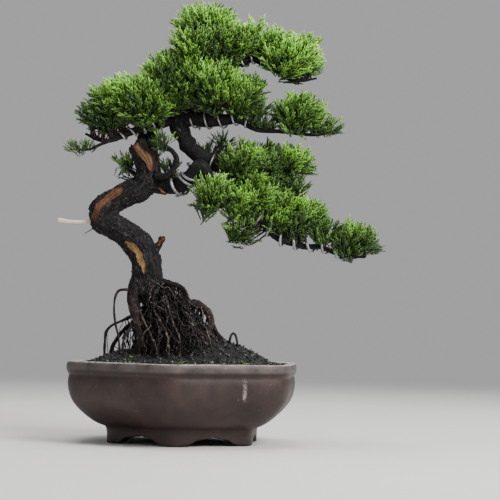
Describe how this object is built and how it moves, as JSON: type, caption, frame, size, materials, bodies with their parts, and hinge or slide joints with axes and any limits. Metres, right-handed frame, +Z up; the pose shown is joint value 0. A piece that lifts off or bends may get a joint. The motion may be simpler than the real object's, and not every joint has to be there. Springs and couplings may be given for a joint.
{
  "type": "bonsai tree in a pot",
  "caption": "Juniper bonsai with exposed roots, a bent trunk with bare-wood strips, wired branches and clouds of green foliage, in a six-sided footed clay pot.",
  "frame": {"origin": "middle of the whole object's box, on the surface that the pot's feet stand on", "axes": "+Z up; the tree's front faces -Y; +X to the right as seen from the front"},
  "size_m": [0.3626, 0.2798, 0.5008],
  "materials": {
    "fired_clay": "matte",
    "black_soil": "matte",
    "screen_plastic": "matte",
    "juniper_bark": "matte",
    "bleached_wood": "matte",
    "training_wire": "satin",
    "juniper_foliage": "matte"
  },
  "bodies": {
    "root": {"arch_wire": "training_wire", "arch_wire_double": "training_wire", "back_branch": "juniper_bark", "cascade_branch": "juniper_bark", "cascade_side_branch": "juniper_bark", "cascade_side_wire": "training_wire", "cascade_wire": "training_wire", "crown_branch": "juniper_bark", "crown_wire": "training_wire", "diagonal_branch": "juniper_bark", "diagonal_wire": "training_wire", "drain_clip": "training_wire", "drain_screen": "screen_plastic", "fork_twig": "juniper_bark", "inner_right_branch": "juniper_bark", "jin_stick": "bleached_wood", "leader": "juniper_bark", "left_branch": "juniper_bark", "left_low_twig": "juniper_bark", "left_wire": "training_wire", "pad_centre": "juniper_foliage", "pad_centre_back": "juniper_foliage", "pad_centre_right": "juniper_foliage", "pad_crown_front": "juniper_foliage", "pad_crown_middle": "juniper_foliage", "pad_crown_tip": "juniper_foliage", "pad_crown_top": "juniper_foliage", "pad_diagonal": "juniper_foliage", "pad_diagonal_back": "juniper_foliage", "pad_diagonal_tip": "juniper_foliage", "pad_left_back": "juniper_foliage", "pad_left_middle": "juniper_foliage", "pad_left_tip": "juniper_foliage", "pad_left_top": "juniper_foliage", "pad_low_hanging": "juniper_foliage", "pad_low_left": "juniper_foliage", "pad_low_middle": "juniper_foliage", "pad_low_right": "juniper_foliage", "pad_low_tip": "juniper_foliage", "pad_right": "juniper_foliage", "pad_right_inner": "juniper_foliage", "pad_right_tip": "juniper_foliage", "pot": "fired_clay", "right_branch": "juniper_bark", "right_wire": "training_wire", "root_arc_left": "juniper_bark", "root_creeping": "juniper_bark", "root_drop_left": "juniper_bark", "root_front_centre": "juniper_bark", "root_front_left": "juniper_bark", "root_front_pale": "juniper_bark", "root_mat": "juniper_bark", "root_outer_left": "juniper_bark", "root_thick_left": "juniper_bark", "soil": "black_soil", "trunk": "juniper_bark", "tuft_behind_stub": "juniper_foliage", "tuft_fork": "juniper_foliage", "tuft_left": "juniper_foliage", "upper_left_branch": "juniper_bark"}
  },
  "joints": []
}
